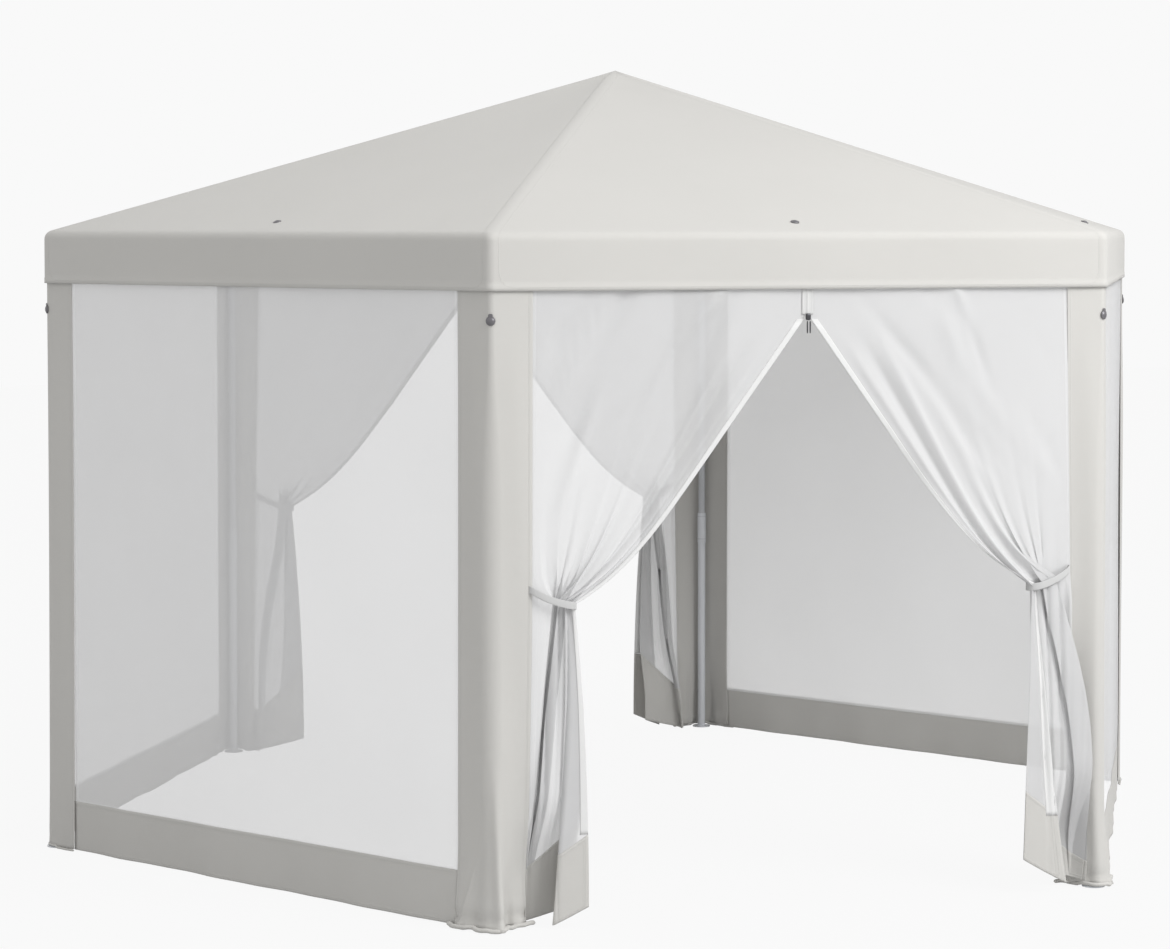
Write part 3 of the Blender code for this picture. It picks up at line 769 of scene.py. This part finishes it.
# Below its tie each half hangs in flat folds. Shares run from the free edge (0) to the sewn one (1). Neck,
# middle and hem are each fold's place across at the tie, half way down and at the ground, and out is how far
# its layer stands out. Behind the front folds the rest goes to and fro between near and far
foldPlans = {
    "hanging": {
        "share": (0.0, 0.12, 0.22, 0.34), "neck": (0.720, 0.752, 0.726, 0.768),
        "middle": (0.690, 0.758, 0.704, 0.812), "hem": (0.682, 0.790, 0.700, 0.846),
        "out": (0.020, 0.012, 0.005), "near": (0.742, 0.782, 0.830), "far": (0.778, 0.814, 0.850),
        "back": 10, "backOut": (-0.002, -0.034), "frontSeam": (0.267, 0.212, 0.300, 0.165),
        "backSeam": (0.170, 0.160), "frontHem": (0.057, 0.010, 0.045, 0.008), "backHem": (0.010, 0.010),
        "ridges": 4.0, "ridgeReach": 0.95, "pleatFrom": 0.50, "overSleeve": False,
    },
    "curled": {
        "share": (0.0, 0.10, 0.36), "neck": (0.742, 0.724, 0.806), "middle": (0.780, 0.706, 0.888),
        "hem": (0.843, 0.690, 0.872), "out": (0.034, 0.022), "near": (0.756, 0.822, 0.848),
        "far": (0.800, 0.884, 0.884), "back": 8, "backOut": (0.038, -0.006),
        "frontSeam": (0.235, 0.315, 0.085), "backSeam": (0.110, 0.080), "frontHem": (0.027, 0.107, 0.024),
        "backHem": (0.030, 0.022), "ridges": 3.3, "ridgeReach": 0.80, "pleatFrom": 0.20, "overSleeve": True,
    },
}
foldPlans["level"] = {**foldPlans["hanging"], "frontSeam": (0.300, 0.290, 0.305, 0.165),
                      "far": (0.778, 0.810, 0.832)}
lastFold = {"share": 0.93, "seam": 0.165, "out": -0.001}           # where the pleats end; the sewn edge
doorLooks = {
    "front_left": {"side": -1, "seed": 3, "plan": "hanging", "swing": 0.0},
    "front_right": {"side": 1, "seed": 8, "plan": "curled", "swing": 0.0},
    "back_right": {"side": -1, "seed": 14, "plan": "level", "swing": 0.0},
    "back_left": {"side": 1, "seed": 21, "plan": "level", "swing": 0.010},
}


def foldTable(plan):
    # front folds, then pleats to and fro behind them, the hinder ones the wider, then the sewn edge
    last = plan["share"][-1]
    width = (lastFold["share"] - last) / plan["back"]
    number = np.arange(plan["back"])
    outward = number % 2
    reach = outward * (plan["pleatFrom"] + (1 - plan["pleatFrom"]) * number / (plan["back"] - 1))
    nearest, farthest = plan["backOut"]

    def column(front, back, end):
        return np.concatenate([front, back, [end]])
    places = [column(plan[level], near + (far - near) * reach, panelHalf)
              for level, near, far in zip(("neck", "middle", "hem"), plan["near"], plan["far"])]
    return {
        "stops": column(plan["share"], np.cumsum([last] + [width] * plan["back"])[1:], 1.0),
        "places": np.array(places),
        "outs": column(plan["out"], nearest + (farthest - nearest) * number / (plan["back"] - 1),
                       lastFold["out"]),
        "seams": column(plan["frontSeam"], np.array(plan["backSeam"])[outward], lastFold["seam"]),
        "hems": column(plan["frontHem"], np.array(plan["backHem"])[outward], clothFoot),
    }


def between(share, stops):
    # the stop before a share, and how far it is on the way to the next
    pick = np.clip(np.searchsorted(stops, share, side="right") - 1, 0, len(stops) - 2)
    return pick, unit((share - stops[pick]) / (stops[pick + 1] - stops[pick]))


def folded(share, stops, values):
    # by half a cosine from fold to fold, so that the cloth turns round at each, and by a quarter wave at
    # the free edge and the sewn one, where it doesn't turn
    pick, way = between(share, stops)
    blend = np.where(pick == 0, np.sin(pi / 2 * way), (1 - np.cos(pi * way)) / 2)
    blend = np.where(pick == len(stops) - 2, 1 - np.cos(pi / 2 * way), blend)
    return values[pick] + (values[pick + 1] - values[pick]) * blend


def layerOut(share, table):
    # level along the middle of each layer, stepping to the next layer round each fold
    middles = np.concatenate([[0.0], (table["stops"][1:] + table["stops"][:-1]) / 2, [1.0]])
    levels = np.concatenate([table["outs"][:1], table["outs"], table["outs"][-1:]])
    pick, way = between(share, middles)
    return levels[pick] + (levels[pick + 1] - levels[pick]) * ease((way - 0.5) / 0.7 + 0.5)


def tieLine(across):
    return door["tieHeight"] + door["tieSlope"] * (across - door["tieCentre"])


def neckAcross(share):
    # packed threads at the tie; the last sixth stays flat beside the corner sleeve
    flatPart = stepUp(share, door["edgeFlat"], 1 - door["edgeFlat"])
    edging = door["neckEdge"] * (1 - np.exp(-share / 0.03))
    packed = door["neckLead"] + edging + (door["neckGather"] - door["neckEdge"]) * share
    return packed + (panelHalf - door["neckLead"] - door["neckGather"]) * flatPart


def onParabola(way, first, middle, last):
    return first * (1 - way) * (1 - 2 * way) + middle * 4 * way * (1 - way) + last * way * (2 * way - 1)


def sewn(share):
    # 1 at the sewn edge, 0 over most of the cloth
    return stepUp(share, 0.86, 0.14)


def threadPlace(share, height, look):
    # Above the tie a thread slides from its place at the top to its place in the neck by 0.85 h + 0.15 h^9,
    # h being the way down from the zip's end. Below, it runs along the parabola through its three places,
    # and beside the sleeve it goes with that piece's edge
    table = look["table"]
    neck, middle, hem = (folded(share, table["stops"], places) for places in table["places"])
    packed = neckAcross(share)
    tieAt = tieLine(neck)
    above = np.maximum(height - tieAt, 0)
    below = unit((tieAt - height) / tieAt)
    top = door["parting"] + (panelHalf - door["parting"]) * share
    start = door["zipEnd"] + (clothTop - door["zipEnd"]) * ease(share / 0.35)
    h = unit((start - height) / (start - tieAt))
    fall = 0.85 * h + 0.15 * h ** 9
    across = top + (packed - top) * fall + (neck - packed) * np.exp(-above / door["unpack"])
    across = across + onParabola(below, neck, middle, hem) - neck
    across = across - look["swing"] * np.sin(pi / 2 * below) * unit(1 - share) ** 1.5
    beside = np.maximum(sewn(share), stepUp(share, 0.24, 0.12) * ease(below / 0.5))
    return across + narrowed(height, look["corner"]) * beside, above, below


def fanOut(share, above, below, seed):
    # gathers: two sines of the share, deepest a little above the tie, weaker towards both edges
    phase = 2 * pi * fans["count"] * unit(share) ** fans["bias"] + 0.7 * seed
    shape = 0.82 * np.sin(phase) + 0.24 * np.sin(1.83 * phase + seed)
    shape = shape * (0.86 + 0.14 * np.sin(2.7 * share * pi + seed))
    fan = fans["depth"] * np.exp(-above / fans["fadeUp"]) * (0.35 + 0.65 * ease(above / 0.07))
    fan = fan * np.exp(-below / fans["fadeDown"]) * (1 - 0.94 * stepUp(share, 0.84, 0.13)) * shape
    return fan * ease(share / 0.05) * (1 - 0.72 * stepUp(share, 0.30, 0.25) * ease(above / 0.04))


def stackOut(share, above, below, table):
    # the flat layers of the bundle, and low down the pocket that sinks in behind the front folds
    stack = layerOut(share, table) * (0.5 + 0.5 * ease(below / 0.35)) * np.exp(-above / 0.09)
    behind = stepUp(share, 0.12, 0.10) * (1 - stepUp(share, 0.90, 0.08))
    return stack - door["pocket"] * behind * stepUp(below, door["pocketFrom"], 0.30)


def ridgeOut(share, across, above, below, look):
    # ridges between narrow grooves, the size of a sine of the place across, so that they run through all
    # layers; they draw together towards the sleeve's foot
    plan = foldPlans[look["plan"]]
    lead = onParabola(below, *look["table"]["places"].min(axis=1))
    place = np.clip((across - lead) / (panelHalf - lead), 0, None)
    leaning = np.minimum(ridges["lean"] * below, 0.5)
    rib = np.clip((place - leaning) / (1 - leaning), 0, None)
    rib = rib + ridges["wander"] * np.sin(11 * rib + look["seed"])
    grooves = np.abs(np.sin(pi * (plan["ridges"] * rib + 0.5))) ** 0.6
    ridge = ridges["depth"] * (1.6 * grooves - 1.6) * ease(below / 0.10 + 0.5)
    ridge = ridge * np.exp(-above / ridges["fadeUp"])
    ridge = ridge * (1 - 0.85 * stepUp(place, plan["ridgeReach"], 0.25) * ease(below / 0.12))
    return ridge * (1 - 0.8 * stepUp(below, 0.6, 0.25)) * (1 - stepUp(share, 0.88, 0.12))


def softWrinkles(across, height, seed):
    # a few long shallow ridges that run down towards the tie, each a stretched bell shape
    pick = np.random.default_rng(seed)
    total = 0 * across * height
    for _ in range(wrinkles["count"]):
        x, z = pick.uniform(0.18, 0.80), pick.uniform(1.25, 1.85)
        lean, long, wide = pick.uniform(0.75, 1.25), pick.uniform(0.08, 0.20), pick.uniform(0.012, 0.028)
        along = (across - x) * cos(lean) - (height - z) * sin(lean)
        off = (across - x) * sin(lean) + (height - z) * cos(lean)
        total = total + pick.uniform(-1, 1) * np.exp(-(along / long) ** 2 - (off / wide) ** 2)
    return total


overlay = {"gap": 0.005, "bunchGap": 0.014, "layerGap": 0.020, "softness": 0.002, "reach": 0.022,
           "ramp": 0.020, "lowRamp": 0.10}


def overSleeve(across, out, share, height, below, look):
    # where the bundle reaches past the sleeve's edge it is raised, by a soft maximum, to the surface there
    # and a gap, and a little more for each layer further forward
    corner = look["corner"]
    edgeAt = panelHalf + narrowed(height, corner)
    wing = unit((wallHalf - across) / (wallHalf - edgeAt))
    surface = sleeve["proud"] + sleeve["roundGain"] * rounded(height) * (1 - wing ** 2)
    surface = surface + look["bunch"] * flareOut(height)
    surface = surface - pulledIn(height, corner) * stepUp(wing, 0.05, 0.95)
    gap = overlay["gap"] + overlay["bunchGap"] * look["bunch"] * low(height, foot["foldHeight"])
    short = clothFlat + surface + gap + overlay["layerGap"] * (1 - share) - out
    lift = (short + np.sqrt(short ** 2 + overlay["softness"] ** 2)) / 2
    past = ease((across - edgeAt + overlay["reach"]) / overlay["ramp"])
    return out + lift * past * ease(below / overlay["lowRamp"])


def curtainPoint(share, height, look):
    # the thread's place, and all that stands out from the wall there
    across, above, below = threadPlace(share, height, look)
    crease = sum(size * bell(share, at, 0.020) for at, size in leadCreases)
    crease = crease * ease(above / 0.10) * (1 - stepUp(height, 1.50, 0.22))
    sag = -door["sag"] * np.sin(pi * unit(above / 0.75)) * (1 - share)
    wrinkle = wrinkles["depth"] * softWrinkles(across, height, look["seed"]) * ease(above / 0.12)
    wrinkle = wrinkle * (1 - stepUp(share, 0.88, 0.10))
    spread = 0.8 * look["bunch"] * flareOut(height) * stepUp(share, 0.5, 0.5)
    spread = spread - pulledIn(height, look["corner"]) * sewn(share)
    out = (clothFlat - door["setBack"] + fanOut(share, above, below, look["seed"])
           + stackOut(share, above, below, look["table"]) + ridgeOut(share, across, above, below, look)
           + crease + sag + wrinkle + spread)
    if foldPlans[look["plan"]]["overSleeve"]:
        out = overSleeve(across, out, share, height, below, look)
    return across, out


def handed(grid, look):
    # columns run to the right seen from outside, so the left half of a door is turned round
    return grid[:, ::-1] if look["side"] < 0 else grid


def curtainPatch(look, share, height, edge, proud=0.0):
    # the cloth, or a strip so far in front of it, square to the step to the next thread
    across, out = curtainPoint(share, height, look)
    if proud:
        nextAcross, nextOut = curtainPoint(share + 0.002, height, look)
        stepAcross, stepOut = nextAcross - across, nextOut - out
        length = np.hypot(stepAcross, stepOut)
        across = across - proud * stepOut / length
        out = out + proud * stepAcross / length
    points = placed(look["side"] * across, out, height, look["turn"])
    edge = np.broadcast_to(edge, points.shape[:2])
    return patch(*(handed(grid, look) for grid in (points, stacked(share * panelHalf, height), edge)))


def curtainRows(share, bottom):
    # rows are closer round the tie, and the last stretch ends on the line of the skirt
    top, middle, lower = door["netRows"]
    first, last = door["packedRows"]
    levels = np.concatenate([np.linspace(clothTop, first, top)[:-1], np.linspace(first, last, middle)])
    tail = last + (bottom - last) * np.linspace(0, 1, lower)[1:, None]
    return np.concatenate([levels[:, None] + 0 * share, tail + 0 * share])


def makeCurtain(name, look):
    # the net, its skirt along the ground and the binding of its free edge
    table = look["table"]
    share = np.linspace(0, 1, door["columns"])[None, :]
    seam, hem = (folded(share, table["stops"], table[line]) for line in ("seams", "hems"))
    netHeight = curtainRows(share, seam - 0.001)
    curtain = makePiece("door_net_" + name, [curtainPatch(look, share, netHeight, (1 - share) * panelHalf)],
                        curtainNet, ["door_curtain_" + name])
    skirtHeight = seam + (hem - seam) * np.linspace(0, 1, door["skirtRows"])[:, None]
    skirtEdge = np.minimum(seam - skirtHeight, np.minimum(skirtHeight - hem, share * panelHalf) + 0.001)
    skirtPatch = curtainPatch(look, share, skirtHeight, skirtEdge, door["skirtProud"])
    skirt = makePiece("door_skirt_" + name, [skirtPatch], sleeveCloth,
                      thickness=clothThickness)
    strip = np.linspace(-0.001, door["bindingWidth"] / panelHalf, 7)[None, :]
    stripHeight = curtainRows(strip, table["seams"][0])
    stripHeight = stripHeight[stripHeight[:, 0] <= door["zipEnd"] + 0.004]
    edging = makePiece("door_binding_" + name, [curtainPatch(look, strip, stripHeight, 1.0)], binding,
                       thickness=door["bindingThickness"], lean=0.0)


tie = {"half": 0.0108, "slack": 0.005, "tail": 0.100, "depth": 0.027, "thickness": 0.0016, "droop": 0.010,
       "droopFrom": 0.71, "droopWidth": 0.15, "crown": 0.0006}


def makeTie(name, look):
    # a flat ribbon carried round a long oval, one end round the gathered net and one at the sleeve
    around = np.linspace(0, 2 * pi, 97)[None, :]
    level = np.array([1, 0.82, 0.3, -0.3, -0.82, -1])[:, None]
    lead = door["tieCentre"] - look["table"]["places"][0].min() + tie["slack"]
    reach = np.where(np.cos(around) > 0, tie["tail"], lead)
    across = door["tieCentre"] + reach * np.cos(around)
    depth = tie["depth"] * np.sign(np.sin(around)) * np.abs(np.sin(around)) ** 0.75
    droop = -tie["droop"] * np.sin(pi * unit((across - tie["droopFrom"]) / tie["droopWidth"]))
    out = clothFlat - door["setBack"] + depth + tie["crown"] * (1 - level ** 2) * np.sign(depth)
    height = tieLine(across) + droop + level * tie["half"]
    points = placed(look["side"] * across, out, height, look["turn"])
    flat = stacked(level * tie["half"], around * 0.05)
    strap = patch(*(handed(grid[:, ::-1], look) for grid in (points, flat)))
    makePiece("tie_strap_" + name, [strap], strapTape, ["tie_back_" + name],
              thickness=tie["thickness"], lean=0.0)


for name, look in doorLooks.items():
    look["wall"] = name.split("_")[0]
    look["turn"] = wallTurns[look["wall"]] * sixth
    look["table"] = foldTable(foldPlans[look["plan"]])
    look["corner"], look["bunch"] = name, bunching[name]
    makeCurtain(name, look)
    makeTie(name, look)
print("door curtains done")


zipper = {
    "tapeHalf": 0.017, "top": 1.93, "proud": 0.0008, "rib": 0.0016, "ribWidth": 0.0035, "welt": 0.0005,
    "weltAt": 0.0155, "weltWidth": 0.0012, "thickness": 0.0008, "sliderTop": 1.753, "bodyOut": 0.006,
    "bodyHalf": (0.0075, 0.0050, 0.010), "prongOut": 0.0105, "prongDown": 0.040, "prongApart": 0.0045,
    "prongHalf": (0.0020, 0.0014, 0.018),
}


def makeZip(name):
    # a tape with a rounded rib of teeth down its middle, and a slider at its lower end
    turn = wallTurns[name] * sixth
    across = np.linspace(-1, 1, 41)[None, :] * zipper["tapeHalf"]
    height = np.linspace(zipper["top"], door["zipEnd"], 40)[:, None]
    rib = zipper["rib"] * bell(across, 0, zipper["ribWidth"])
    welt = zipper["welt"] * bell(np.abs(across), zipper["weltAt"], zipper["weltWidth"])
    points = placed(across, clothFlat + zipper["proud"] + rib + welt, height, turn)
    makePiece("zip_tape_" + name, [patch(points, stacked(across, height))], zipTape,
              thickness=zipper["thickness"])
    axes = (-sin(turn), cos(turn), 0), (cos(turn), sin(turn), 0), (0, 0, 1)

    def block(side, out, height, halves, squareness):
        centre = placed(side, clothFlat + out, height, turn)
        return slabPatch(centre, axes, halves, squareness, 14)
    top = zipper["sliderTop"]
    parts = [block(0, zipper["bodyOut"], top - zipper["bodyHalf"][2], zipper["bodyHalf"], 0.5)]
    parts += [block(side * zipper["prongApart"], zipper["prongOut"], top - zipper["prongDown"],
                    zipper["prongHalf"], 0.45) for side in (-1, 1)]
    makePiece("zip_slider_" + name, parts, sliderMetal, weld=True)


for name in ("front", "back"):
    makeZip(name)
print("zips done")


stage = {
    "glow": 0.947, "floorDiffuse": 0.03, "floorLit": 0.028, "floorSize": 60.0, "bounce": 0.62,
    "bounceSize": 24.0, "sky": 0.765, "domeRadius": 70.0,
}


def plainFloor(name, height, size):
    mesh = bpy.data.meshes.new(name)
    corners = [(x * size / 2, y * size / 2, height) for x, y in ((-1, -1), (1, -1), (1, 1), (-1, 1))]
    mesh.from_pydata(corners, [], [(0, 1, 2, 3)])
    return mesh


def addStage(mesh, finishName, grey, glow, seen):
    # a piece of the studio: either only the camera sees it, or only its light counts
    finish = Finish(finishName, Base_Color=(grey, grey, grey, 1), Roughness=1.0, Specular_IOR_Level=0.0,
                    Emission_Color=(1, 1, 1, 1), Emission_Strength=glow)
    mesh.materials.append(finish.material)
    made = addObject(mesh.name, mesh)
    made.visible_camera = seen
    made.visible_diffuse = made.visible_glossy = made.visible_transmission = not seen
    made.visible_shadow = False


addStage(plainFloor("floor", -0.001, stage["floorSize"]), "paleFloor", stage["floorDiffuse"],
         stage["glow"] - stage["floorLit"], seen=True)
addStage(plainFloor("floor_bounce", -0.002, stage["bounceSize"]), "bounceFloor", stage["bounce"], 0.0,
         seen=False)
ball = bmesh.new()
bmesh.ops.create_uvsphere(ball, u_segments=48, v_segments=24, radius=stage["domeRadius"])
dome = bpy.data.meshes.new("backdrop")
ball.to_mesh(dome)
ball.free()
addStage(dome, "backdropGlow", 0.0, stage["glow"], seen=True)

world = bpy.data.worlds.new("studio")
bpy.context.scene.world = world
world.use_nodes = True
background = world.node_tree.nodes["Background"].inputs
background["Color"].default_value = (1.0, 1.0, 1.0, 1)
background["Strength"].default_value = stage["sky"]

key = {"azimuth": -63.0, "elevation": 35.0, "distance": 9.0, "size": 5.0, "power": 520.0,
       "aim": (0.2, -0.4, 1.2)}
lamp = bpy.data.lights.new("key", "AREA")
lamp.shape = "DISK"
lamp.size = key["size"]
lamp.energy = key["power"]
softbox = addObject("key", lamp)
aim = Vector(key["aim"])
azimuth, elevation = radians(key["azimuth"]), radians(key["elevation"])
toLight = Vector((cos(elevation) * cos(azimuth), cos(elevation) * sin(azimuth), sin(elevation)))
softbox.location = aim + key["distance"] * toLight
softbox.rotation_euler = (-toLight).to_track_quat("-Z", "Y").to_euler()

shot = {"azimuth": -19.5549, "distance": 11.0275, "height": 2.014, "yaw": 0.0093, "down": 0.04,
        "focalPixels": 3232.7, "imageWidth": 1170.0, "risePixels": 121.2, "sensor": 36.0}
camera = addObject("camera", bpy.data.cameras.new("camera"))
azimuth = radians(shot["azimuth"])
camera.location = (sin(azimuth) * shot["distance"], -cos(azimuth) * shot["distance"], shot["height"])
camera.rotation_euler = (pi / 2 - shot["down"], 0, azimuth + shot["yaw"])
camera.data.sensor_width = shot["sensor"]
camera.data.lens = shot["sensor"] * shot["focalPixels"] / shot["imageWidth"]
camera.data.shift_y = -shot["risePixels"] / shot["imageWidth"]
camera.data.clip_end = 200.0
bpy.context.scene.camera = camera
bpy.context.scene.view_settings.view_transform = "Standard"
print("stage, light and camera ready")
